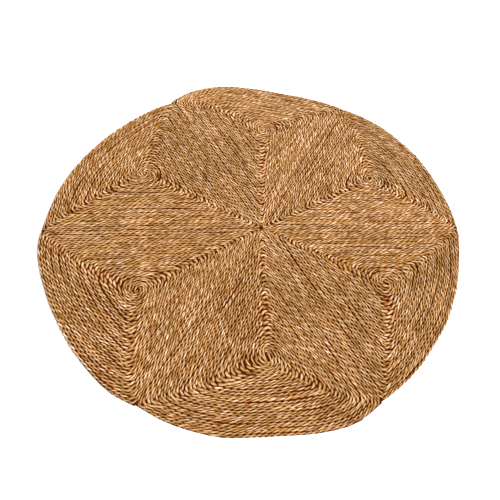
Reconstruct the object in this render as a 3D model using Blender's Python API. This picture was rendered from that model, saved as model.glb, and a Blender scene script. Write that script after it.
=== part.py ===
"""Round floor mat made of six coiled panels of two-ply grass rope.

Each panel is one rope wound flat around an eye, so its rows run parallel to the two
straight seams and to the curved rim, and meet in mitres that fan out from the eye.
The six panels stand hub to rim like slices, and are stitched together along the seams.
The hand work shows in the outline, which is a little different in every panel.
"""

import math
from collections import namedtuple

import bmesh
import bpy

OBJECT_NAME = "coiled_rope_mat"

# Driving dimensions, in metres.
MAT_RADIUS = 0.600
ROPE_THICKNESS = 0.0070
GROOVE_HEIGHT = 0.6 * ROPE_THICKNESS
EDGE_HEIGHT = 0.5 * ROPE_THICKNESS
PANEL_GAP = 0.0003
ROWS = 31

# Each row turns a corner with a bend this many rows long, on either side of the corner:
# short on the outermost row, and longer row by row towards the eye.
OUTER_BEND_IN_ROWS = 1.6
INNER_BEND_IN_ROWS = 5.6
# The bends are longer still, by this many rows, on the rows this near the eye.
SWIRL_BEND_IN_ROWS = 5.0
SWIRL_ROWS = 12.0
# No bend is more than this many times as long as the way to the eye, nor takes more than
# this share of the side that it ends.
BEND_GROWTH_BY_EYE = 1.6
LARGEST_BEND_SHARE = 0.48
# The rows this near the eye are drawn towards circles, of this size beside a row's
# distance from the eye.
ROUND_ROWS = 7.0
ROUND_SIZE = 1.15
# The bend at the panel's tip is this share of the others on the outermost row, so that
# the tips meet closely at the hub, and as long as the others from this inset inwards.
TIP_BEND_SHARE = 0.3
TIP_INSET = 0.13
# The underside is flat and starts this many rows in from the outline.
UNDERSIDE_INSET_IN_ROWS = 0.35

# Slack places make the surface rise and fall gently, this much either way, in two
# crossing waves. Each wave's heading is measured counter-clockwise from +X.
SWELL_HEIGHT = 0.0004
SWELL_WAVES = (
    {"length": 0.29, "heading_degrees": 22.0},
    {"length": 0.22, "heading_degrees": 107.0},
)

# Points on each stretch of a row.
POINTS_PER_BEND = 4
POINTS_INSIDE_RIM = 9
CORNER_STEPS = 8

# The hub, where the panels meet, while they are being drawn.
HUB = (0.0, 0.0)

# The panels, counter-clockwise from the seam on the right. Seams and eyes are given by
# their direction from the hub in degrees. Radii are shares of MAT_RADIUS, and
# rim_radii holds nine of them, evenly spread from the first seam to the second.
Panel = namedtuple("Panel", "name first_seam second_seam eye_direction eye_radius rim_radii")

PANELS = (
    Panel("panel_upper_right", 0.5, 60.3, 29.4, 0.674,
          (1.003, 1.003, 1.002, 1.004, 1.010, 1.009, 1.011, 1.006, 0.990)),
    Panel("panel_top", 60.3, 119.2, 88.0, 0.665,
          (0.990, 0.984, 0.984, 0.985, 0.999, 1.022, 1.040, 1.038, 1.000)),
    Panel("panel_upper_left", 119.2, 181.7, 150.1, 0.670,
          (0.990, 0.994, 0.995, 0.997, 1.000, 1.003, 1.008, 1.013, 1.021)),
    Panel("panel_lower_left", 181.7, 239.0, 211.4, 0.656,
          (1.021, 1.020, 1.010, 1.003, 0.996, 0.996, 1.000, 1.006, 0.997)),
    Panel("panel_bottom", 239.0, 298.7, 270.9, 0.665,
          (0.992, 0.997, 0.999, 0.998, 0.989, 0.993, 1.006, 1.016, 0.995)),
    Panel("panel_lower_right", 298.7, 360.5, 331.7, 0.657,
          (0.990, 0.987, 0.981, 0.977, 0.977, 0.979, 0.985, 0.993, 1.003)),
)

# Dried grass, base colour in linear light, a little different in each panel.
ROPE_COLOURS = {
    "panel_upper_right": (0.47, 0.26, 0.10),
    "panel_top": (0.48, 0.27, 0.11),
    "panel_upper_left": (0.42, 0.22, 0.08),
    "panel_lower_left": (0.45, 0.24, 0.09),
    "panel_bottom": (0.46, 0.25, 0.10),
    "panel_lower_right": (0.43, 0.22, 0.08),
}
ROPE_ROUGHNESS = 0.85


def clear_scene():
    """Remove every object that the scene starts with."""
    for thing in list(bpy.data.objects):
        bpy.data.objects.remove(thing, do_unlink=True)


def direction(degrees):
    """Unit vector in the plan, counter-clockwise from +X."""
    angle = math.radians(degrees)
    return math.cos(angle), math.sin(angle)


def along(start, heading, distance):
    """Point at a distance from a start point in a heading."""
    return start[0] + heading[0] * distance, start[1] + heading[1] * distance


def between(first, second, share):
    """Point on the straight line from the first point to the second."""
    return along(first, (second[0] - first[0], second[1] - first[1]), share)


def distance_between(first, second):
    return math.hypot(second[0] - first[0], second[1] - first[1])


def smooth_value(values, position):
    """Read evenly spaced values as a smooth curve; position runs from 0 to 1."""
    last = len(values) - 1
    scaled = min(max(position, 0.0), 1.0) * last
    index = min(int(scaled), last - 1)
    step = scaled - index
    left = values[max(index - 1, 0)]
    start = values[index]
    end = values[index + 1]
    right = values[min(index + 2, last)]
    bend = step * (right - 3.0 * end + 3.0 * start - left)
    curve = step * (2.0 * left - 5.0 * start + 4.0 * end - right + bend)
    return start + 0.5 * step * (end - left + curve)


def rim_radius(panel, degrees):
    """Distance from the hub to the rim in a direction of the panel."""
    sweep = panel.second_seam - panel.first_seam
    return MAT_RADIUS * smooth_value(panel.rim_radii, (degrees - panel.first_seam) / sweep)


def degrees_of(panel, point):
    """Direction of a point from the hub, counted on from the panel's first seam."""
    turned = math.degrees(math.atan2(point[1], point[0])) - panel.first_seam
    return panel.first_seam + (turned + 180.0) % 360.0 - 180.0


def eye_span(panel):
    """Distance from the hub to the panel's eye."""
    return MAT_RADIUS * panel.eye_radius


def eye_to_rim(panel):
    """Distance from the panel's eye straight out to the rim."""
    return rim_radius(panel, panel.eye_direction) - eye_span(panel)


def row_pitch(panel):
    """Distance from one row to the next."""
    return eye_to_rim(panel) / ROWS


def row_shape(panel, inset):
    """Corners and rim inset of the row at an inset: 0 at the outline, 1 at the eye.

    A row keeps the same share of the way to the eye from both seams and from the rim.
    """
    first_heading = direction(panel.first_seam)
    second_heading = direction(panel.second_seam)
    first_inward = (-first_heading[1], first_heading[0])
    second_inward = (second_heading[1], -second_heading[0])
    eye_from_first = math.radians(panel.eye_direction - panel.first_seam)
    eye_from_second = math.radians(panel.second_seam - panel.eye_direction)
    eye_to_first = eye_span(panel) * math.sin(eye_from_first)
    eye_to_second = eye_span(panel) * math.sin(eye_from_second)
    seam_clearance = PANEL_GAP / 2
    first_offset = seam_clearance + inset * (eye_to_first - seam_clearance)
    second_offset = seam_clearance + inset * (eye_to_second - seam_clearance)
    rim_inset = inset * eye_to_rim(panel)

    wedge = math.radians(panel.second_seam - panel.first_seam)
    apex_along_first = (second_offset + first_offset * math.cos(wedge)) / math.sin(wedge)
    apex = along(along(HUB, first_inward, first_offset), first_heading, apex_along_first)

    def rim_corner(heading, inward, offset, seam):
        """Where a straight side at this offset from its seam meets the row's rim curve."""
        degrees = seam
        corner = None
        for _ in range(CORNER_STEPS):
            reach = rim_radius(panel, degrees) - rim_inset
            run = math.sqrt(max(reach * reach - offset * offset, 0.0))
            corner = along(along(HUB, inward, offset), heading, run)
            degrees = degrees_of(panel, corner)
        return corner

    first_corner = rim_corner(first_heading, first_inward, first_offset, panel.first_seam)
    second_corner = rim_corner(second_heading, second_inward, second_offset, panel.second_seam)
    return apex, first_corner, second_corner, rim_inset


def bend_reach(panel, inset, shortest_side):
    """How far from a rim corner its bend starts."""
    rows_from_eye = ROWS * (1.0 - inset)
    growth = (INNER_BEND_IN_ROWS - OUTER_BEND_IN_ROWS) * math.sqrt(inset)
    swirl = SWIRL_BEND_IN_ROWS * math.exp(-((rows_from_eye / SWIRL_ROWS) ** 2))
    reach_in_rows = OUTER_BEND_IN_ROWS + growth + swirl
    reach_in_rows = min(reach_in_rows, BEND_GROWTH_BY_EYE * rows_from_eye)
    return min(reach_in_rows * row_pitch(panel), LARGEST_BEND_SHARE * shortest_side)


def bend_points(before, corner, after):
    """Points of a rounded corner: a curve that leaves one side and joins the next."""
    points = []
    for step in range(POINTS_PER_BEND):
        share = step / (POINTS_PER_BEND - 1)
        points.append(between(between(before, corner, share), between(corner, after, share), share))
    return points


def rounded(panel, inset, point):
    """A row's point drawn towards a circle round the eye: the nearer the row, the more."""
    rows_from_eye = ROWS * (1.0 - inset)
    eye = along(HUB, direction(panel.eye_direction), eye_span(panel))
    circle_radius = ROUND_SIZE * rows_from_eye * row_pitch(panel)
    roundness = math.exp(-((rows_from_eye / ROUND_ROWS) ** 2))
    return between(eye, point, (circle_radius / distance_between(eye, point)) ** roundness)


def row_outline(panel, inset):
    """Closed plan outline of the row at an inset, counter-clockwise from the apex."""
    apex, first_corner, second_corner, rim_inset = row_shape(panel, inset)
    first_side = distance_between(apex, first_corner)
    second_side = distance_between(apex, second_corner)
    rim_side = distance_between(first_corner, second_corner)
    reach = bend_reach(panel, inset, min(first_side, second_side, rim_side))
    tip_reach = reach * (TIP_BEND_SHARE + (1.0 - TIP_BEND_SHARE) * min(inset / TIP_INSET, 1.0))

    first_degrees = degrees_of(panel, first_corner)
    second_degrees = degrees_of(panel, second_corner)
    bend_degrees = (second_degrees - first_degrees) * reach / rim_side

    def on_rim(degrees):
        return along(HUB, direction(degrees), rim_radius(panel, degrees) - rim_inset)

    rim_start = first_degrees + bend_degrees
    rim_end = second_degrees - bend_degrees
    apex_out = between(apex, first_corner, tip_reach / first_side)
    apex_in = between(apex, second_corner, tip_reach / second_side)
    first_in = between(first_corner, apex, reach / first_side)
    second_out = between(second_corner, apex, reach / second_side)

    outline = bend_points(apex_in, apex, apex_out)
    outline += bend_points(first_in, first_corner, on_rim(rim_start))
    for step in range(1, POINTS_INSIDE_RIM + 1):
        share = step / (POINTS_INSIDE_RIM + 1)
        outline.append(on_rim(rim_start + (rim_end - rim_start) * share))
    outline += bend_points(on_rim(rim_end), second_corner, second_out)
    return [rounded(panel, inset, point) for point in outline]


def swell(point):
    """Gentle rise and fall of the surface at a place in the plan."""
    total = 0.0
    for wave in SWELL_WAVES:
        heading = direction(wave["heading_degrees"])
        travelled = point[0] * heading[0] + point[1] * heading[1]
        total += math.sin(2.0 * math.pi * travelled / wave["length"])
    return SWELL_HEIGHT * total / len(SWELL_WAVES)


def panel_sections():
    """Insets and heights of the loft: underside, edge, then crest and groove of each row."""
    sections = [
        (UNDERSIDE_INSET_IN_ROWS / ROWS, 0.0, False),
        (0.0, EDGE_HEIGHT, False),
    ]
    for row in range(ROWS):
        sections.append(((row + 0.5) / ROWS, ROPE_THICKNESS, True))
        if row < ROWS - 1:
            sections.append(((row + 1.0) / ROWS, GROOVE_HEIGHT, True))
    return sections


def loft_panel(panel):
    """Closed mesh of one panel, ribbed on top by its rope rows and flat underneath."""
    shell = bmesh.new()
    rings = []
    for inset, height, on_top in panel_sections():
        ring = []
        for point in row_outline(panel, inset):
            lift = swell(point) if on_top else 0.0
            ring.append(shell.verts.new((point[0], point[1], height + lift)))
        rings.append(ring)

    count = len(rings[0])
    for outer, inner in zip(rings, rings[1:]):
        for index in range(count):
            following = (index + 1) % count
            shell.faces.new((outer[index], outer[following], inner[following]))
            shell.faces.new((outer[index], inner[following], inner[index]))

    eye = along(HUB, direction(panel.eye_direction), eye_span(panel))
    eye_vertex = shell.verts.new((eye[0], eye[1], GROOVE_HEIGHT))
    for index in range(count):
        shell.faces.new((rings[-1][index], rings[-1][(index + 1) % count], eye_vertex))
    shell.faces.new(list(reversed(rings[0])))
    bmesh.ops.triangulate(shell, faces=[face for face in shell.faces if len(face.verts) > 3])

    mesh = bpy.data.meshes.new(panel.name)
    shell.to_mesh(mesh)
    shell.free()
    return mesh


def rope_material(name, colour):
    """Dry, matt grass rope."""
    material = bpy.data.materials.new(name + "_rope")
    material.use_nodes = True
    shader = material.node_tree.nodes["Principled BSDF"]
    shader.inputs["Base Color"].default_value = (*colour, 1.0)
    shader.inputs["Roughness"].default_value = ROPE_ROUGHNESS
    shader.inputs["Metallic"].default_value = 0.0
    return material


def add_panel(panel, collection):
    """One panel as an object of its own, with its own material."""
    mesh = loft_panel(panel)
    mesh.materials.append(rope_material(panel.name, ROPE_COLOURS[panel.name]))
    thing = bpy.data.objects.new(panel.name, mesh)
    collection.objects.link(thing)
    return thing


def centre_on_origin(things):
    """Shift the plan so that the origin is under the middle of the mat's box."""
    points = [vertex.co for thing in things for vertex in thing.data.vertices]
    middle_x = (min(point.x for point in points) + max(point.x for point in points)) / 2
    middle_y = (min(point.y for point in points) + max(point.y for point in points)) / 2
    for point in points:
        point.x -= middle_x
        point.y -= middle_y


def build_mat():
    clear_scene()
    collection = bpy.data.collections.new(OBJECT_NAME)
    bpy.context.scene.collection.children.link(collection)
    centre_on_origin([add_panel(panel, collection) for panel in PANELS])


build_mat()
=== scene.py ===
"""Looks of the round floor mat: six coiled panels of two-ply grass rope on a pale floor.

Each panel is one rope, wound as a spiral from its outline in to its eye. The rope is a
closed mesh of two twisted plies, so the rows, the chinks between them and the mitres
where they turn are real relief. A thin dark web a little below the rope's middle closes
the chinks: a sheet of painted shade, for the shade deep between the rows. The straw's
colour also carries painted shade, towards the crease between the plies and down the
rope's flanks.
"""

import math
from collections import namedtuple

import bpy
import numpy as np
from mathutils import Euler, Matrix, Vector


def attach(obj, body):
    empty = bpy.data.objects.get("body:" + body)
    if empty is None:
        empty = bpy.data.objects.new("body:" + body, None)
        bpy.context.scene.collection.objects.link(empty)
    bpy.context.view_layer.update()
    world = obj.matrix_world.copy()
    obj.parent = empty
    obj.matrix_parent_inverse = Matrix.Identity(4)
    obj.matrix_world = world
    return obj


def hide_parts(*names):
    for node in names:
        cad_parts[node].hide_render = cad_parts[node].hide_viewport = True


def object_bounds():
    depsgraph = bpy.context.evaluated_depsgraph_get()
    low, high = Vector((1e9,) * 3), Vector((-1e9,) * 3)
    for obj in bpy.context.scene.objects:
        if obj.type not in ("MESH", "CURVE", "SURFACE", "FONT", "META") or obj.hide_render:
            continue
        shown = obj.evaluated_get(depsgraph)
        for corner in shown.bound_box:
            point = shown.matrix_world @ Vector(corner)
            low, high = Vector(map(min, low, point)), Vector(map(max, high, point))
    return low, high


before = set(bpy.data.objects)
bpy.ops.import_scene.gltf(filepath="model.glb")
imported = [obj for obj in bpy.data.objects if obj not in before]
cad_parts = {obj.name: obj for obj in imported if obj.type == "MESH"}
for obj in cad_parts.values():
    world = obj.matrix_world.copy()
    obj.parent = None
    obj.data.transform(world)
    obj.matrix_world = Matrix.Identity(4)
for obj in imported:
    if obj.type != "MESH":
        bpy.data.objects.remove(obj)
cad_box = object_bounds()

# Driving dimensions, in metres, as in the solids.
MAT_RADIUS = 0.600
ROPE_THICKNESS = 0.0070
PANEL_GAP = 0.0003
ROWS = 31

# Each row turns a corner with a bend this many rows long, on either side of the corner:
# short on the outermost row, longer towards the eye, and longer still on the rows nearest
# to it.
OUTER_BEND_IN_ROWS = 1.6
INNER_BEND_IN_ROWS = 5.6
SWIRL_BEND_IN_ROWS = 5.0
SWIRL_ROWS = 12.0
# No bend is more than this many times as long as the way to the eye, nor takes more than
# this share of the side that it ends.
BEND_GROWTH_BY_EYE = 1.6
LARGEST_BEND_SHARE = 0.48
# The rows this near the eye are drawn towards circles, of this size beside a row's
# distance from the eye.
ROUND_ROWS = 7.0
ROUND_SIZE = 1.15
# The bend at the panel's tip is this share of the others on the outermost row, and as
# long as the others from this inset inwards.
TIP_BEND_SHARE = 0.3
TIP_INSET = 0.13

# The panels, counter-clockwise from the seam on the right. Seams and eyes are given by
# their direction from the hub in degrees. Radii are shares of MAT_RADIUS, and
# rim_radii holds nine of them, evenly spread from the first seam to the second.
Panel = namedtuple("Panel", "name first_seam second_seam eye_direction eye_radius rim_radii")

PANELS = (
    Panel("panel_upper_right", 0.5, 60.3, 29.4, 0.674,
          (1.003, 1.003, 1.002, 1.004, 1.010, 1.009, 1.011, 1.006, 0.990)),
    Panel("panel_top", 60.3, 119.2, 88.0, 0.665,
          (0.990, 0.984, 0.984, 0.985, 0.999, 1.022, 1.040, 1.038, 1.000)),
    Panel("panel_upper_left", 119.2, 181.7, 150.1, 0.670,
          (0.990, 0.994, 0.995, 0.997, 1.000, 1.003, 1.008, 1.013, 1.021)),
    Panel("panel_lower_left", 181.7, 239.0, 211.4, 0.656,
          (1.021, 1.020, 1.010, 1.003, 0.996, 0.996, 1.000, 1.006, 0.997)),
    Panel("panel_bottom", 239.0, 298.7, 270.9, 0.665,
          (0.992, 0.997, 0.999, 0.998, 0.989, 0.993, 1.006, 1.016, 0.995)),
    Panel("panel_lower_right", 298.7, 360.5, 331.7, 0.657,
          (0.990, 0.987, 0.981, 0.977, 0.977, 0.979, 0.985, 0.993, 1.003)),
)

# How the rope lies: length of one full twist of its two plies, how finely it is made, and
# how high its middle is. The thin tail's middle is lower, but no less than this share.
LAY_LENGTH = 0.0348
STEPS_PER_LAY = 8
EXTRA_STEPS_PER_RADIAN = 0.8
ROPE_HEIGHT_ABOVE_FLOOR = 0.0035
LOWEST_SCALE_ABOVE_FLOOR = 0.5

# The eyes. Each rope ends in one of its last rows, after so many of that row's six
# stretches. The opening lies in a direction of the plan, is longer that way at either end
# than a round one would be, and narrower across on either side.
Eye = namedtuple("Eye", "last_row stretches degrees longer narrower")

EYES = {
    "panel_upper_right": Eye(29, 5, 70.0, 0.0005, 0.0012),
    "panel_top": Eye(30, 5, 160.0, 0.0, 0.0),
    "panel_upper_left": Eye(30, 2, 45.0, 0.0030, -0.0010),
    "panel_lower_left": Eye(30, 1, 59.0, 0.0050, -0.0005),
    "panel_bottom": Eye(29, 5, 108.0, 0.0075, 0.0056),
    "panel_lower_right": Eye(29, 5, 140.0, 0.0045, 0.0042),
}
# How near the eye's middle this shift changes sides, and how far out it has faded.
EYE_OPENING = 0.006
EYE_FADE = 0.024

# Points on each stretch of a row before it is divided into even steps. Points nearer
# together than the shortest leg count as one, and the shortest tangent keeps a division
# from failing where points coincide. A rim corner is found in so many steps.
SIDE_POINTS = 25
BEND_POINTS = 9
RIM_POINTS = 73
SHORTEST_LEG = 1e-6
SHORTEST_TANGENT = 1e-9
CORNER_STEPS = 8

# The length of rim over which each turn moves in by one row to start the next, and the
# share of the rope's thickness with which the tail starts there.
CROSSOVER_LENGTH = 0.12
THINNEST_TAIL = 0.12

# Section of the rope in shares of its thickness: one ply, from the crease that it shares
# with the other ply round its outer face. The other ply is the same, turned half round.
# The rope fills this share of its thickness, and no fibre lies nearer to the floor.
PLY_SECTION = (
    {"out": 0.00, "aside": -0.08, "crease": 1.0},
    {"out": 0.17, "aside": -0.31, "crease": 0.4},
    {"out": 0.46, "aside": -0.19, "crease": 0.0},
    {"out": 0.46, "aside": 0.19, "crease": 0.0},
    {"out": 0.17, "aside": 0.31, "crease": 0.4},
)
ROPE_FULLNESS = 0.97
LOWEST_FIBRE = 0.0001

# Where the rows turn they lie farther apart, and the rope is spread to take up this share
# of the room, which counts up to so many rows.
ROOM_TAKEN = 0.95
MOST_ROOM = 3.0

# Hand work that the rows share: waves that shift them in the plan, a long one by this
# much and a short one by a share of it, both along X and along Y.
WANDER = 0.00066
LONG_WAVE = 0.31
SHORT_WAVE = 0.19
SHORT_WAVE_SHARE = 0.6
WAVE_STARTS = {"long_x": 0.7, "short_x": 2.1, "long_y": 1.9, "short_y": 0.4}

# Hand work of each rope by itself: how much something changes, and the length of rope over
# which it does. Looseness, slack and height are in metres, twist is in turns, and the
# others are shares. Random values lie that far apart, and the last ones past the end.
Change = namedtuple("Change", "size length")

LOOSENESS = Change(0.00055, 0.05)
SLACK = Change(0.0006, 0.16)
THICKNESS_CHANGE = Change(0.03, 0.06)
SLOW_THICKNESS_CHANGE = Change(0.04, 0.16)
HEIGHT_CHANGE = Change(0.0004, 0.08)
TWIST_CHANGE = Change(0.30, 0.11)
PLY_CHANGE = Change(0.10, 0.035)
KNOTS_PAST_END = 3
RANDOM_SEED = 31

# The UV map for baking a panel's colour holds its rope in this many level strips, with a
# margin along both edges of each, as a share of its height, and at the map's two ends.
MAP_STRIPS = 34
MAP_MARGIN = 0.06
MAP_END_MARGIN = 0.002

# The web, a dark sheet of painted shade that closes the chinks: its heights, the insets
# of its rings, how round its corners are beside the rope's, and which of a row's points it
# keeps.
WEB_BOTTOM = 0.0014
WEB_TOP = 0.0030
WEB_INSETS = (0.0006, 0.20, 0.45, 0.70)
WEB_ROUNDNESS = 0.1
WEB_POINT_STEP = 4

# The camera, measured from the hub on the mat's top, in shares of MAT_RADIUS.
CAMERA_PLACE = (-0.1118, -1.4787, 2.1028)
CAMERA_TURN_DEGREES = (32.850, -5.755, -3.462)
CAMERA_LENS = 37.77
CAMERA_SENSOR = 36.0
CAMERA_SHIFT = (-0.1, 0.0)

# Soft studio light: a large square light on the right, a weak one on the left, a pale room
# and a pale floor.
Light = namedtuple("Light", "name place size power")

LIGHTS = (
    Light("key_light", (9.2, -2.6, 10.2), 5.0, 2600.0),
    Light("fill_light", (-2.4, 0.4, 2.6), 2.0, 20.0),
)
ROOM_LIGHT = 0.74
ROOM_COLOUR = (1.0, 1.0, 1.0)
FLOOR_SIZE = 12.0
FLOOR_COLOUR = (0.92, 0.92, 0.92)
FLOOR_ROUGHNESS = 0.95
FLOOR_SHEEN = 0.1

# Colours of the straw in linear light, from the darkest to the palest, and two that
# lengths of it lean to.
STRAW_BROWN = (0.15, 0.042, 0.004)
STRAW_GOLD = (0.40, 0.201, 0.059)
STRAW_TAN = (0.60, 0.388, 0.188)
STRAW_PALE = (0.81, 0.640, 0.500)
STRAW_RUST = (0.36, 0.105, 0.022)
STRAW_GREEN = (0.56, 0.400, 0.120)
STRAW_TONES = ((0.36, STRAW_BROWN), (0.45, STRAW_GOLD), (0.53, STRAW_TAN), (0.635, STRAW_PALE))
# Noise along the straw over which a length comes to lean to rust or to green, and how much
# it leans at the most.
RUST_SPAN = (0.54, 0.72)
GREEN_SPAN = (0.46, 0.28)
MOST_LEANING = 0.22

# Painted shade: how the straw's colour darkens towards the crease between the plies, and
# down the rope's flanks, where shade falls.
SHADE_LOW = (0.20, 0.003, 0.000)
SHADE_MIDDLE = (0.53, 0.26, 0.035)
SHADE_NONE = (1.0, 1.0, 1.0)
CREASE_SHADES = ((0.05, SHADE_NONE), (0.40, SHADE_MIDDLE), (0.85, SHADE_LOW))
FLANK_SHADES = ((0.12, SHADE_LOW), (0.36, SHADE_MIDDLE), (0.62, SHADE_NONE))
# The painted crease shade shows less where the crease crosses the top of the rope, which
# the light reaches: this share of it.
CREASE_ON_TOP = 0.55
CREASE_FADES_FROM = 0.45
CREASE_FADES_TO = 0.95

# Painted shade: the web's colours, a dark red brown for the shade deep in the chinks, how
# finely they change, and its surface.
CHINK_DARK = (0.070, 0.004, 0.000)
CHINK_LIGHT = (0.060, 0.016, 0.003)
CHINK_TONES = ((0.35, CHINK_DARK), (0.7, CHINK_LIGHT))
WEB_FIBRE_SCALE = 420.0
WEB_FIBRE_DETAIL = 3.0
WEB_ROUGHNESS = 0.9
WEB_SHEEN = 0.0

# How light each panel's straw is, beside the others. This is partly the straw's own tone
# and partly painted light: the two panels at the back are lighter, as the light falls off
# towards the front.
PANEL_LIGHTNESS = {
    "panel_upper_right": 0.98,
    "panel_top": 0.99,
    "panel_upper_left": 0.89,
    "panel_lower_left": 0.89,
    "panel_bottom": 0.89,
    "panel_lower_right": 0.87,
}

# Patterns of the straw: changes in a metre along the rope and in a ply round it, or from
# ply to ply; how finely they are broken up; and where in the noise each one starts.
Grain = namedtuple("Grain", "along across by_ply detail roughness start")

FIBRES = Grain(55.0, 9.0, False, 3.0, 0.6, 0.0)
BLADES = Grain(32.0, 2.6, False, 2.0, 0.5, 5.0)
STRANDS = Grain(36.0, 5.3, True, 1.0, 0.5, 8.0)
LENGTHS = Grain(7.0, 3.7, True, 2.0, 0.5, 11.0)
STREAKS = Grain(4.0, 0.4, True, 2.0, 0.5, 14.0)
START_BETWEEN_PANELS = 17.0
BLADE_SHARE = 0.32
FIBRE_SHARE = 0.28
STRAND_SHARE = 0.40

# Lighter and darker places: changes in a metre of the mat, how finely the spots are broken
# up, and how strong they are.
PATCH_SCALE = 7.0
SPOT_SCALE = 55.0
SPOT_DETAIL = 1.0
PATCH_CHANGE = 0.12
SPOT_CHANGE = 0.12
STREAK_CHANGE = 0.22
# Darker places are also redder: powers of the lightness in green and in blue.
GREEN_POWER = 1.15
BLUE_POWER = 1.7

# Noise seldom leaves this span.
NOISE_LOW = 0.3
NOISE_HIGH = 0.7

# The straw's surface: its roughness where the fibres are low and where they are high, how
# much it shines, and how far the fibres stand out.
STRAW_ROUGHNESS = (0.78, 0.52)
STRAW_SHEEN = 0.04
FIBRE_RELIEF = 0.0005
FIBRE_RELIEF_STRENGTH = 0.6

# Places of the sockets that a mix of colours uses.
MIX_INPUTS = (0, 6, 7)
MIX_OUTPUT = 2


def direction(degrees):
    """Unit vector in the plan, counter-clockwise from +X."""
    angle = math.radians(degrees)
    return np.array([math.cos(angle), math.sin(angle)])


def smooth_value(values, position):
    """Read evenly spaced values as a smooth curve; position runs from 0 to 1."""
    last = len(values) - 1
    scaled = min(max(position, 0.0), 1.0) * last
    index = min(int(scaled), last - 1)
    step = scaled - index
    left = values[max(index - 1, 0)]
    start = values[index]
    end = values[index + 1]
    right = values[min(index + 2, last)]
    bend = step * (right - 3.0 * end + 3.0 * start - left)
    curve = step * (2.0 * left - 5.0 * start + 4.0 * end - right + bend)
    return start + 0.5 * step * (end - left + curve)


def rim_radius(panel, degrees):
    """Distance from the hub to the rim in a direction of the panel."""
    sweep = panel.second_seam - panel.first_seam
    return MAT_RADIUS * smooth_value(panel.rim_radii, (degrees - panel.first_seam) / sweep)


def degrees_of(panel, point):
    """Direction of a point from the hub, counted on from the panel's first seam."""
    turned = math.degrees(math.atan2(point[1], point[0])) - panel.first_seam
    return panel.first_seam + (turned + 180.0) % 360.0 - 180.0


def eye_span(panel):
    """Distance from the hub to the panel's eye."""
    return MAT_RADIUS * panel.eye_radius


def eye_to_rim(panel):
    """Distance from the panel's eye straight out to the rim."""
    return rim_radius(panel, panel.eye_direction) - eye_span(panel)


def row_pitch(panel):
    """Distance from one row to the next."""
    return eye_to_rim(panel) / ROWS


def row_shape(panel, inset):
    """Corners and rim inset of the row at an inset: 0 at the outline, 1 at the eye."""
    first_heading = direction(panel.first_seam)
    second_heading = direction(panel.second_seam)
    first_inward = np.array([-first_heading[1], first_heading[0]])
    second_inward = np.array([second_heading[1], -second_heading[0]])
    eye_from_first = math.radians(panel.eye_direction - panel.first_seam)
    eye_from_second = math.radians(panel.second_seam - panel.eye_direction)
    eye_to_first = eye_span(panel) * math.sin(eye_from_first)
    eye_to_second = eye_span(panel) * math.sin(eye_from_second)
    seam_clearance = PANEL_GAP / 2
    first_offset = seam_clearance + inset * (eye_to_first - seam_clearance)
    second_offset = seam_clearance + inset * (eye_to_second - seam_clearance)
    rim_inset = inset * eye_to_rim(panel)

    wedge = math.radians(panel.second_seam - panel.first_seam)
    apex_along_first = (second_offset + first_offset * math.cos(wedge)) / math.sin(wedge)
    apex = first_inward * first_offset + first_heading * apex_along_first

    def rim_corner(heading, inward, offset, seam):
        """Where a straight side at this offset from its seam meets the row's rim curve."""
        degrees = seam
        corner = None
        for _ in range(CORNER_STEPS):
            reach = rim_radius(panel, degrees) - rim_inset
            run = math.sqrt(max(reach * reach - offset * offset, 0.0))
            corner = inward * offset + heading * run
            degrees = degrees_of(panel, corner)
        return corner

    first_corner = rim_corner(first_heading, first_inward, first_offset, panel.first_seam)
    second_corner = rim_corner(second_heading, second_inward, second_offset, panel.second_seam)
    return apex, first_corner, second_corner, rim_inset


def bend_reach(panel, inset, shortest_side):
    """How far from a corner its bend starts."""
    rows_from_eye = ROWS * (1.0 - inset)
    growth = (INNER_BEND_IN_ROWS - OUTER_BEND_IN_ROWS) * math.sqrt(inset)
    swirl = SWIRL_BEND_IN_ROWS * math.exp(-((rows_from_eye / SWIRL_ROWS) ** 2))
    reach_in_rows = OUTER_BEND_IN_ROWS + growth + swirl
    reach_in_rows = min(reach_in_rows, BEND_GROWTH_BY_EYE * rows_from_eye)
    return min(reach_in_rows * row_pitch(panel), LARGEST_BEND_SHARE * shortest_side)


def straight(first, second, count):
    """Points from the first to the second, with both ends."""
    shares = np.linspace(0.0, 1.0, count)[:, None]
    return first + (second - first) * shares


def bend(before, corner, after):
    """Points of a rounded corner: a curve that leaves one side and joins the next."""
    shares = np.linspace(0.0, 1.0, BEND_POINTS)[:, None]
    leaving = before + (corner - before) * shares
    joining = corner + (after - corner) * shares
    return leaving + (joining - leaving) * shares


def rounded(panel, inset, points):
    """A row's points drawn towards a circle round the eye: the nearer the row, the more."""
    rows_from_eye = ROWS * (1.0 - inset)
    eye = direction(panel.eye_direction) * eye_span(panel)
    from_eye = points - eye
    radius = np.linalg.norm(from_eye, axis=1)[:, None]
    circle_radius = ROUND_SIZE * rows_from_eye * row_pitch(panel)
    roundness = math.exp(-((rows_from_eye / ROUND_ROWS) ** 2))
    return eye + from_eye * (circle_radius / radius) ** roundness


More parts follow.
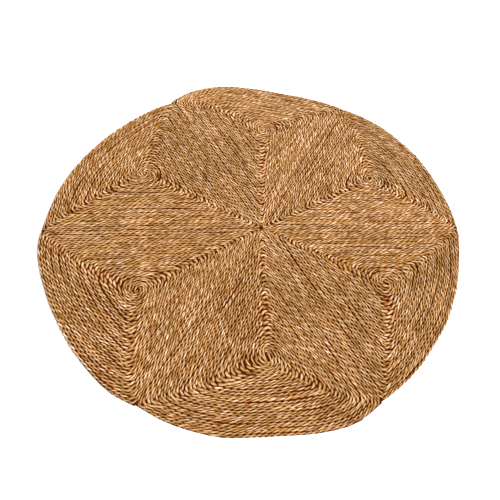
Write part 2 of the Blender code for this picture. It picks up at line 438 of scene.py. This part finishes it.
def row_stretches(panel, inset, roundness=1.0):
    """One row as six stretches in order: second side, apex, first side, corner, rim, corner."""
    apex, first_corner, second_corner, rim_inset = row_shape(panel, inset)
    first_side = np.linalg.norm(first_corner - apex)
    second_side = np.linalg.norm(second_corner - apex)
    rim_side = np.linalg.norm(second_corner - first_corner)
    reach = bend_reach(panel, inset, min(first_side, second_side, rim_side)) * roundness
    tip_reach = reach * (TIP_BEND_SHARE + (1.0 - TIP_BEND_SHARE) * min(inset / TIP_INSET, 1.0))

    first_degrees = degrees_of(panel, first_corner)
    second_degrees = degrees_of(panel, second_corner)
    bend_degrees = (second_degrees - first_degrees) * reach / rim_side
    rim_start = first_degrees + bend_degrees
    rim_end = second_degrees - bend_degrees
    rim_degrees = np.linspace(rim_start, rim_end, RIM_POINTS)
    rim = np.array([direction(d) * (rim_radius(panel, d) - rim_inset) for d in rim_degrees])

    apex_out = apex + (first_corner - apex) * tip_reach / first_side
    apex_in = apex + (second_corner - apex) * tip_reach / second_side
    first_in = first_corner + (apex - first_corner) * reach / first_side
    second_out = second_corner + (apex - second_corner) * reach / second_side
    stretches = [
        straight(second_out, apex_in, SIDE_POINTS),
        bend(apex_in, apex, apex_out),
        straight(apex_out, first_in, SIDE_POINTS),
        bend(first_in, first_corner, rim[0]),
        rim,
        bend(rim[-1], second_corner, second_out),
    ]
    return [rounded(panel, inset, stretch) for stretch in stretches]


def eased(share):
    """A share from 0 to 1 that starts and ends gently."""
    return share * share * (3.0 - 2.0 * share)


def up_to_rim_end(stretches):
    """The points of all a row's stretches but the last corner, so that they end with the rim."""
    return np.vstack(stretches[:-1])


def crossover(stretches):
    """How far each point of a row has moved on to the next row: 0 at first, up to 1 at the rim's end.

    On the short rows round the eye the move takes the whole turn, and they form a spiral.
    """
    legs = np.diff(up_to_rim_end(stretches), axis=0)
    travelled = np.concatenate([[0.0], np.cumsum(np.linalg.norm(legs, axis=1))])
    start = max(travelled[-1] - CROSSOVER_LENGTH, 0.0)
    return eased(np.clip((travelled - start) / (travelled[-1] - start), 0.0, 1.0))


def row_inset(row):
    """Inset of the rope's middle in a row counted from the outline."""
    return (row + 0.5) / ROWS


def rope_tail(panel):
    """The rope's tapered end, which fills the wedge that the outermost turn leaves at the rim."""
    outermost = row_stretches(panel, row_inset(0))
    fullness = crossover(outermost)
    points = []
    scales = []
    for index in np.flatnonzero(fullness > 0.0):
        scale = max(float(fullness[index]), THINNEST_TAIL)
        points.append(up_to_rim_end(row_stretches(panel, 0.5 * scale / ROWS))[index])
        scales.append(scale)
    corner = outermost[-1]
    return np.vstack([np.array(points), corner]), np.array(scales + [1.0] * len(corner))


def room_beside(panel, row, next_row):
    """Distance across from each point of a row to the next row, in row pitches."""
    tangent = np.gradient(row, axis=0)
    tangent /= np.maximum(np.linalg.norm(tangent, axis=1), SHORTEST_TANGENT)[:, None]
    step = next_row - row
    across = np.abs(tangent[:, 0] * step[:, 1] - tangent[:, 1] * step[:, 0])
    return np.clip(across / row_pitch(panel), 1.0, MOST_ROOM)


def rope_route(panel):
    """Plan points, relative thickness and room along the panel's rope, from its tail in to the eye."""
    tail, tail_scales = rope_tail(panel)
    route = [tail]
    rooms = [np.ones(len(tail))]
    eye = EYES[panel.name]
    rows = [row_stretches(panel, row_inset(row)) for row in range(eye.last_row + 1)]
    for here, following in zip(rows, rows[1:]):
        moved = crossover(here)[:, None]
        loop, next_loop = up_to_rim_end(here), up_to_rim_end(following)
        route += [loop * (1.0 - moved) + next_loop * moved, following[-1]]
        rooms += [room_beside(panel, loop, next_loop), room_beside(panel, following[-1], here[-1])]
    innermost = rows[-1][:eye.stretches]
    route += innermost
    rooms.append(np.ones(len(np.vstack(innermost))))
    points = np.vstack(route)
    scales = np.ones(len(points))
    scales[:len(tail_scales)] = tail_scales
    step = np.linalg.norm(np.diff(points, axis=0), axis=1)
    kept = np.concatenate([[True], step > SHORTEST_LEG])
    return points[kept], scales[kept], np.concatenate(rooms)[kept]


def wander(points):
    """Shared slack of the rows: a smooth shift that changes from place to place in the plan."""
    x, y = points[:, 0], points[:, 1]
    long_turns = 2.0 * math.pi / LONG_WAVE
    short_turns = 2.0 * math.pi / SHORT_WAVE
    starts = WAVE_STARTS
    long_x = np.sin(long_turns * y + starts["long_x"])
    short_x = np.sin(short_turns * (x + y) + starts["short_x"])
    long_y = np.sin(long_turns * x + starts["long_y"])
    short_y = np.sin(short_turns * (x - y) + starts["short_y"])
    shift = np.stack([long_x + SHORT_WAVE_SHARE * short_x, long_y + SHORT_WAVE_SHARE * short_y], axis=1)
    return WANDER * shift


def shape_eye(panel, points):
    """Draw the rope's innermost turns out one way and in the other, so that a slit is left open."""
    eye = EYES[panel.name]
    along = direction(eye.degrees)
    aside = np.array([-along[1], along[0]])
    from_eye = points - direction(panel.eye_direction) * eye_span(panel)
    fade = np.exp(-(from_eye ** 2).sum(axis=1) / EYE_FADE ** 2)
    longer = eye.longer * fade * np.tanh(from_eye @ along / EYE_OPENING)
    narrower = eye.narrower * fade * np.tanh(from_eye @ aside / EYE_OPENING)
    return points + along * longer[:, None] - aside * narrower[:, None]


def drift(distance, change, random):
    """Smooth random values along the rope, of a change's size, that vary over its length."""
    count = int(distance[-1] / change.length) + KNOTS_PAST_END
    knots = change.size * random.standard_normal(count)
    place = distance / change.length
    index = place.astype(int)
    share = eased(place - index)
    return knots[index] * (1.0 - share) + knots[index + 1] * share


def even_steps(points, scales, rooms):
    """The route in steps of a share of the lay, a little closer together where it bends."""
    legs = np.diff(points, axis=0)
    lengths = np.linalg.norm(legs, axis=1)
    headings = np.unwrap(np.arctan2(legs[:, 1], legs[:, 0]))
    turns = np.concatenate([[0.0], np.abs(np.diff(headings))])
    distance = np.concatenate([[0.0], np.cumsum(lengths)])
    step = LAY_LENGTH / STEPS_PER_LAY
    effort = distance + np.concatenate([[0.0], np.cumsum(turns)]) * EXTRA_STEPS_PER_RADIAN * step
    count = int(effort[-1] / step) + 1
    at = np.linspace(0.0, effort[-1], count)
    kinds = (points[:, 0], points[:, 1], scales, rooms, distance)
    x, y, scales, rooms, distance = (np.interp(at, effort, values) for values in kinds)
    return np.stack([x, y], axis=1), scales, rooms, distance


def rope_rings(panel, random):
    """Rings of points around the rope, the distance along it, and values for the shading.

    The shading values are how near a point is to the crease between the plies, and which
    way it faces: 1 on top of the rope, 0 on its flanks, below 0 underneath.
    """
    points, scales, rooms, distance = even_steps(*rope_route(panel))
    points = shape_eye(panel, points)
    points = points + wander(points)
    tangent = np.gradient(points, axis=0)
    tangent /= np.linalg.norm(tangent, axis=1)[:, None]
    sideways = np.stack([-tangent[:, 1], tangent[:, 0]], axis=1)
    shift = drift(distance, LOOSENESS, random) + drift(distance, SLACK, random)
    points = points + sideways * shift[:, None]

    change = drift(distance, THICKNESS_CHANGE, random) + drift(distance, SLOW_THICKNESS_CHANGE, random)
    thickness = scales * ROPE_THICKNESS * ROPE_FULLNESS * (1.0 + change)
    height = ROPE_HEIGHT_ABOVE_FLOOR * np.maximum(scales, LOWEST_SCALE_ABOVE_FLOOR)
    height = height + drift(distance, HEIGHT_CHANGE, random)
    spread = 1.0 + ROOM_TAKEN * (rooms - 1.0)
    turns = distance / LAY_LENGTH + drift(distance, TWIST_CHANGE, random) + random.random()
    twist = -2.0 * math.pi * turns

    rings = []
    creases = []
    facings = []
    for half_turn in (0.0, math.pi):
        fullness = 1.0 + drift(distance, PLY_CHANGE, random)
        cosine = np.cos(twist + half_turn)
        sine = np.sin(twist + half_turn)
        for corner in PLY_SECTION:
            # The crease is shared, so a fuller ply leaves it where it is.
            out = corner["out"] * thickness * fullness
            aside = corner["aside"] * thickness * (fullness if corner["out"] else 1.0)
            level = out * cosine - aside * sine
            rise = out * sine + aside * cosine
            place = points + sideways * (level * spread)[:, None]
            rings.append(np.column_stack([place, np.maximum(height + rise, LOWEST_FIBRE)]))
            creases.append(np.full(len(points), corner["crease"]))
            facings.append(rise / np.hypot(level, rise))
    return np.stack(rings, axis=1), distance, np.stack(creases, axis=1), np.stack(facings, axis=1)


def tube_faces(ring_count, around):
    """Quads between neighbouring rings, with their outsides facing out."""
    ring = np.arange(ring_count - 1)[:, None] * around
    here = np.arange(around)[None, :]
    following = (here + 1) % around
    return np.stack(
        [ring + here, ring + following, ring + around + following, ring + around + here], axis=2
    ).reshape(-1, 4)


def quads_to_mesh(name, vertices, quads, caps):
    """A mesh from quads and two end caps, built in one go."""
    mesh = bpy.data.meshes.new(name)
    corners = np.concatenate([quads.ravel(), np.concatenate(caps)]).astype(np.int32)
    sizes = np.concatenate([np.full(len(quads), 4), [len(cap) for cap in caps]])
    starts = np.concatenate([[0], np.cumsum(sizes)[:-1]]).astype(np.int32)
    mesh.vertices.add(len(vertices))
    mesh.vertices.foreach_set("co", vertices.astype(np.float32).ravel())
    mesh.loops.add(len(corners))
    mesh.loops.foreach_set("vertex_index", corners)
    mesh.polygons.add(len(sizes))
    mesh.polygons.foreach_set("loop_start", starts)
    mesh.polygons.foreach_set("use_smooth", np.ones(len(sizes), dtype=bool))
    mesh.update(calc_edges=True)
    return mesh


def add_map(mesh, name, coordinates):
    """A UV map with one coordinate pair for each face corner."""
    layer = mesh.uv_layers.new(name=name)
    layer.data.foreach_set("uv", coordinates.astype(np.float32).ravel())


def rope_maps(mesh, distance, around, cap_corners):
    """Two UV maps: metres along the rope and round each ply, and level strips for baking."""
    rings = len(distance)
    segment = np.repeat(np.arange(rings - 1), around)
    face = np.tile(np.arange(around), rings - 1)
    start, end = distance[segment], distance[segment + 1]
    low, high = face, face + 1
    along_rope = np.stack([start, start, end, end], axis=1)
    round_ply = np.stack([low, high, high, low], axis=1) / len(PLY_SECTION)
    cap_fill = np.zeros((cap_corners, 2))
    sides = np.stack([along_rope, round_ply], axis=2).reshape(-1, 2)
    add_map(mesh, "RopeUV", np.vstack([sides, cap_fill]))

    segments_per_strip = math.ceil((rings - 1) / MAP_STRIPS)
    strip = segment // segments_per_strip
    place = (segment % segments_per_strip) / segments_per_strip
    width = 1.0 / segments_per_strip
    u = np.stack([place, place, place + width, place + width], axis=1)
    u = u * (1.0 - 2.0 * MAP_END_MARGIN) + MAP_END_MARGIN
    v = np.stack([low, high, high, low], axis=1) / around
    v = (strip[:, None] + MAP_MARGIN + v * (1.0 - 2.0 * MAP_MARGIN)) / MAP_STRIPS
    sides = np.stack([u, v], axis=2).reshape(-1, 2)
    add_map(mesh, "OFBake", np.vstack([sides, cap_fill + MAP_END_MARGIN / 2]))


def mark_creases(mesh, around):
    """Keep the two lines where the plies meet sharp, so that each ply is shaded by itself."""
    edges = np.empty(len(mesh.edges) * 2, dtype=np.int32)
    mesh.edges.foreach_get("vertices", edges)
    edges = edges.reshape(-1, 2)
    column = edges % around
    sharp = (column[:, 0] == column[:, 1]) & (column[:, 0] % len(PLY_SECTION) == 0)
    layer = mesh.attributes.new("sharp_edge", "BOOLEAN", "EDGE")
    layer.data.foreach_set("value", sharp)


def add_object(name, mesh):
    """A mesh as an object in the scene."""
    thing = bpy.data.objects.new(name, mesh)
    bpy.context.scene.collection.objects.link(thing)
    return thing


def add_rope(panel, random):
    """The panel's whole rope as one piece."""
    name = panel.name + "_rope"
    rings, distance, creases, facings = rope_rings(panel, random)
    ring_count, around = rings.shape[:2]
    last_ring = (ring_count - 1) * around + np.arange(around)
    caps = [np.arange(around)[::-1], last_ring]
    mesh = quads_to_mesh(name, rings.reshape(-1, 3), tube_faces(ring_count, around), caps)
    rope_maps(mesh, distance, around, len(caps) * around)
    mark_creases(mesh, around)
    # Masks for the painted shade: nearness to the crease, and which way each point faces.
    for kind, values in (("crease", creases), ("facing", facings)):
        layer = mesh.attributes.new(kind, "FLOAT", "POINT")
        layer.data.foreach_set("value", values.astype(np.float32).ravel())
    return add_object(name, mesh)


def add_web(panel):
    """Thin closed dark sheet between the rows, a little below the rope's middle: painted shade for the
    deep chinks.
    """
    rings = []
    for inset in WEB_INSETS:
        stretches = row_stretches(panel, inset, WEB_ROUNDNESS)
        ring = np.vstack([stretch[:-1:WEB_POINT_STEP] for stretch in stretches])
        rings.append(ring + wander(ring))
    eye = direction(panel.eye_direction) * eye_span(panel)
    around = len(rings[0])
    plan = np.vstack(rings + [eye[None, :]])
    top = np.column_stack([plan, np.full(len(plan), WEB_TOP)])
    bottom = np.column_stack([plan, np.full(len(plan), WEB_BOTTOM)])
    count = len(plan)
    faces = []
    for level in range(len(rings) - 1):
        for index in range(around):
            following = (index + 1) % around
            outer = (level * around + index, level * around + following)
            inner = ((level + 1) * around + following, (level + 1) * around + index)
            faces.append((*outer, *inner))
            faces.append(tuple(count + vertex for vertex in (*inner[::-1], *outer[::-1])))
    innermost = (len(rings) - 1) * around
    for index in range(around):
        following = (index + 1) % around
        faces.append((innermost + index, innermost + following, count - 1))
        faces.append((count + innermost + following, count + innermost + index, 2 * count - 1))
        faces.append((count + index, count + following, following, index))
    mesh = bpy.data.meshes.new(panel.name + "_web")
    mesh.from_pydata(np.vstack([top, bottom]).tolist(), [], faces)
    return add_object(panel.name + "_web", mesh)


class Nodes:
    """Short calls for building a material's node tree."""

    def __init__(self, material):
        material.use_nodes = True
        self.tree = material.node_tree
        self.shader = self.tree.nodes["Principled BSDF"]

    def add(self, kind, **settings):
        """A new node with these settings."""
        node = self.tree.nodes.new(kind)
        for name, value in settings.items():
            setattr(node, name, value)
        return node

    def feed(self, socket, value):
        """Set a socket to a number or a colour, or link it to another node's output."""
        if isinstance(value, (int, float)):
            socket.default_value = value
        elif isinstance(value, tuple):
            socket.default_value = (*value, 1.0)
        else:
            self.tree.links.new(value, socket)

    def feed_all(self, sockets, values):
        """Set or link several sockets, each to its own value."""
        for socket, value in zip(sockets, values):
            self.feed(socket, value)

    def dress(self, **values):
        """Set or link the shader's sockets; an underscore in a name stands for a space."""
        for name, value in values.items():
            self.feed(self.shader.inputs[name.replace("_", " ")], value)

    def calculate(self, operation, first, second=0.0):
        node = self.add("ShaderNodeMath", operation=operation)
        self.feed_all(node.inputs, (first, second))
        return node.outputs[0]

    def noise(self, vector, scale, detail=2.0, roughness=0.5):
        node = self.add("ShaderNodeTexNoise")
        names = ("Vector", "Scale", "Detail", "Roughness")
        self.feed_all((node.inputs[name] for name in names), (vector, scale, detail, roughness))
        return node.outputs["Fac"]

    def vector(self, x, y, z):
        node = self.add("ShaderNodeCombineXYZ")
        self.feed_all(node.inputs, (x, y, z))
        return node.outputs[0]

    def ramp(self, factor, stops):
        """A colour that goes through the stops as the factor grows."""
        node = self.add("ShaderNodeValToRGB")
        elements = node.color_ramp.elements
        # Added stops start at the ramp's end, so the order holds as each gets its place.
        while len(elements) < len(stops):
            elements.new(elements[-1].position)
        for element, (position, colour) in zip(elements, stops):
            element.position = position
            element.color = (*colour, 1.0)
        self.feed(node.inputs["Fac"], factor)
        return node.outputs["Color"]

    def span(self, value, low, high, to_low, to_high):
        """A value moved from one span to another, and kept inside it."""
        node = self.add("ShaderNodeMapRange")
        names = ("Value", "From Min", "From Max", "To Min", "To Max")
        self.feed_all((node.inputs[name] for name in names), (value, low, high, to_low, to_high))
        return node.outputs["Result"]

    def swing(self, value, change, middle=1.0):
        """Noise as a factor that goes this much to either side of its middle."""
        return self.span(value, NOISE_LOW, NOISE_HIGH, middle * (1.0 - change), middle * (1.0 + change))

    def blend(self, factor, first, second, mode="MIX"):
        node = self.add("ShaderNodeMix", data_type="RGBA", blend_type=mode)
        self.feed_all((node.inputs[index] for index in MIX_INPUTS), (factor, first, second))
        return node.outputs[MIX_OUTPUT]

    def multiply(self, first, second):
        """One colour times another."""
        return self.blend(1.0, first, second, "MULTIPLY")


def straw_colour(nodes, fibres, grain, place, lightness):
    """Blades of many tones, with lengths that lean to rust or green, and lighter places."""
    tone = nodes.calculate("MULTIPLY", grain(BLADES), BLADE_SHARE)
    tone = nodes.calculate("ADD", tone, nodes.calculate("MULTIPLY", fibres, FIBRE_SHARE))
    tone = nodes.calculate("ADD", tone, nodes.calculate("MULTIPLY", grain(STRANDS), STRAND_SHARE))
    straw = nodes.ramp(tone, STRAW_TONES)
    lengths = grain(LENGTHS)
    for span, colour in ((RUST_SPAN, STRAW_RUST), (GREEN_SPAN, STRAW_GREEN)):
        straw = nodes.blend(nodes.span(lengths, *span, 0.0, MOST_LEANING), straw, colour)

    # The panel's lightness is partly painted light: the back panels are lighter.
    patches = nodes.swing(nodes.noise(place, PATCH_SCALE), PATCH_CHANGE, lightness)
    spots = nodes.swing(nodes.noise(place, SPOT_SCALE, SPOT_DETAIL), SPOT_CHANGE)
    streaks = nodes.swing(grain(STREAKS), STREAK_CHANGE)
    light = nodes.calculate("MULTIPLY", nodes.calculate("MULTIPLY", patches, spots), streaks)
    green = nodes.calculate("POWER", light, GREEN_POWER)
    blue = nodes.calculate("POWER", light, BLUE_POWER)
    return nodes.multiply(straw, nodes.vector(light, green, blue))


def rope_material(panel, start):
    """Dry split grass: long fibres along each ply, blades of many tones, and painted shade towards the
    creases and down the flanks.
    """
    material = bpy.data.materials.new(panel.name + "_straw")
    nodes = Nodes(material)
    parts = nodes.add("ShaderNodeSeparateXYZ")
    nodes.feed(parts.inputs[0], nodes.add("ShaderNodeUVMap", uv_map="RopeUV").outputs["UV"])
    along, around = parts.outputs[0], parts.outputs[1]
    ply = nodes.calculate("FLOOR", around)
    place = nodes.add("ShaderNodeNewGeometry").outputs["Position"]

    def grain(kind):
        """Noise drawn out along the rope."""
        far = nodes.calculate("MULTIPLY", along, kind.along)
        across = nodes.calculate("MULTIPLY", ply if kind.by_ply else around, kind.across)
        return nodes.noise(nodes.vector(far, across, start + kind.start), 1.0, kind.detail, kind.roughness)

    fibres = grain(FIBRES)
    straw = straw_colour(nodes, fibres, grain, place, PANEL_LIGHTNESS[panel.name])
    # Painted shade: the straw darkens towards the crease between the plies, less where it crosses the top,
    # and down the rope's flanks.
    crease = nodes.add("ShaderNodeAttribute", attribute_name="crease").outputs["Fac"]
    facing = nodes.add("ShaderNodeAttribute", attribute_name="facing").outputs["Fac"]
    showing = nodes.span(facing, CREASE_FADES_FROM, CREASE_FADES_TO, 1.0, CREASE_ON_TOP)
    crease = nodes.calculate("MULTIPLY", crease, showing)
    straw = nodes.multiply(straw, nodes.ramp(crease, CREASE_SHADES))
    straw = nodes.multiply(straw, nodes.ramp(facing, FLANK_SHADES))

    bump = nodes.add("ShaderNodeBump")
    names = ("Strength", "Distance", "Height")
    nodes.feed_all((bump.inputs[name] for name in names), (FIBRE_RELIEF_STRENGTH, FIBRE_RELIEF, fibres))
    nodes.dress(
        Base_Color=straw,
        Roughness=nodes.span(fibres, NOISE_LOW, NOISE_HIGH, *STRAW_ROUGHNESS),
        Specular_IOR_Level=STRAW_SHEEN,
        Normal=bump.outputs["Normal"],
    )
    return material


def web_material():
    """Painted shade: a dark, matt colour for the shade deep between the rows."""
    material = bpy.data.materials.new("web_painted_shade")
    nodes = Nodes(material)
    place = nodes.add("ShaderNodeNewGeometry").outputs["Position"]
    fibres = nodes.noise(place, WEB_FIBRE_SCALE, WEB_FIBRE_DETAIL)
    nodes.dress(
        Base_Color=nodes.ramp(fibres, CHINK_TONES),
        Roughness=WEB_ROUGHNESS,
        Specular_IOR_Level=WEB_SHEEN,
    )
    return material


def move_hub_to_frame(things):
    """Shift the plan so that it lies where the solids lie, and return the hub's place."""
    outline = np.vstack([np.vstack(row_stretches(panel, 0.0)) for panel in PANELS])
    low = outline.min(axis=0)
    hub = np.array(cad_box[0][:2]) - low
    for thing in things:
        count = len(thing.data.vertices)
        places = np.empty(count * 3, dtype=np.float32)
        thing.data.vertices.foreach_get("co", places)
        places = places.reshape(-1, 3)
        places[:, :2] += hub
        thing.data.vertices.foreach_set("co", places.ravel())
        thing.data.update()
    return hub


def add_floor():
    """Plain pale floor, which isn't part of the mat."""
    bpy.ops.mesh.primitive_plane_add(size=FLOOR_SIZE)
    floor = bpy.context.object
    floor.name = "floor"
    material = bpy.data.materials.new("floor_paint")
    Nodes(material).dress(
        Base_Color=FLOOR_COLOUR,
        Roughness=FLOOR_ROUGHNESS,
        Specular_IOR_Level=FLOOR_SHEEN,
    )
    floor.data.materials.append(material)


def add_light(kind):
    """A square soft light that faces the middle of the mat."""
    light = bpy.data.lights.new(kind.name, "AREA")
    light.size = kind.size
    light.energy = kind.power
    thing = add_object(kind.name, light)
    thing.location = kind.place
    thing.rotation_euler = (-Vector(kind.place)).to_track_quat("-Z", "Y").to_euler()


def add_lights():
    """The lights and a pale room, with colours shown as they are."""
    for kind in LIGHTS:
        add_light(kind)
    world = bpy.data.worlds.new("studio")
    world.use_nodes = True
    background = world.node_tree.nodes["Background"]
    background.inputs["Color"].default_value = (*ROOM_COLOUR, 1.0)
    background.inputs["Strength"].default_value = ROOM_LIGHT
    bpy.context.scene.world = world
    bpy.context.scene.view_settings.view_transform = "Standard"


def add_camera(hub):
    """The camera in front of the mat, looking down at it."""
    camera = bpy.data.cameras.new("camera")
    camera.lens = CAMERA_LENS
    camera.sensor_width = CAMERA_SENSOR
    camera.shift_x, camera.shift_y = CAMERA_SHIFT
    thing = add_object("camera", camera)
    across, away, up = (share * MAT_RADIUS for share in CAMERA_PLACE)
    thing.location = (hub[0] + across, hub[1] + away, ROPE_THICKNESS + up)
    thing.rotation_euler = Euler([math.radians(angle) for angle in CAMERA_TURN_DEGREES])
    bpy.context.scene.camera = thing


def build_mat():
    """All six panels; returns the hub's place."""
    random = np.random.default_rng(RANDOM_SEED)
    # The webs share one dark material: painted shade for the chinks.
    web_painted_shade = web_material()
    ropes = []
    webs = []
    for index, panel in enumerate(PANELS):
        rope = add_rope(panel, random)
        rope.data.materials.append(rope_material(panel, START_BETWEEN_PANELS * index))
        # The web is a dark sheet of painted shade under the chinks.
        web = add_web(panel)
        web.data.materials.append(web_painted_shade)
        ropes.append(rope)
        webs.append(web)
    hub = move_hub_to_frame(ropes + webs)
    for panel, rope, web in zip(PANELS, ropes, webs):
        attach(rope, "root")
        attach(web, "root")
        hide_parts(panel.name)
        outline = np.vstack(row_stretches(panel, WEB_INSETS[0], WEB_ROUNDNESS))
    return hub


add_floor()
hub = build_mat()
add_lights()
add_camera(hub)
